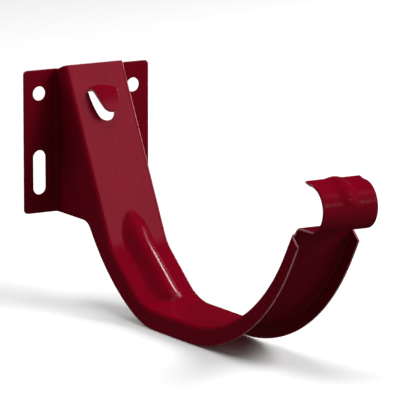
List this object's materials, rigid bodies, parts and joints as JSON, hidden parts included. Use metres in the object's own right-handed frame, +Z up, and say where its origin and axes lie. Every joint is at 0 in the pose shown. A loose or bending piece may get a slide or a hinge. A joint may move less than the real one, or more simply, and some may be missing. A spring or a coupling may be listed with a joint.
{
  "type": "gutter bracket",
  "caption": "Painted folded-steel fascia bracket for a half-round rain gutter, with a slotted wall plate, curved channel seat and front bead hook.",
  "frame": {"origin": "on the wall face, midway between the two round screw holes", "axes": "+X out of the wall towards the hook, +Y along the wall, +Z up"},
  "size_m": [0.1761, 0.049, 0.0813],
  "materials": {
    "coat": "semi-gloss wine-red powder coat on zinc-plated steel sheet"
  },
  "bodies": {
    "root": {"bracket": "coat"}
  },
  "joints": []
}
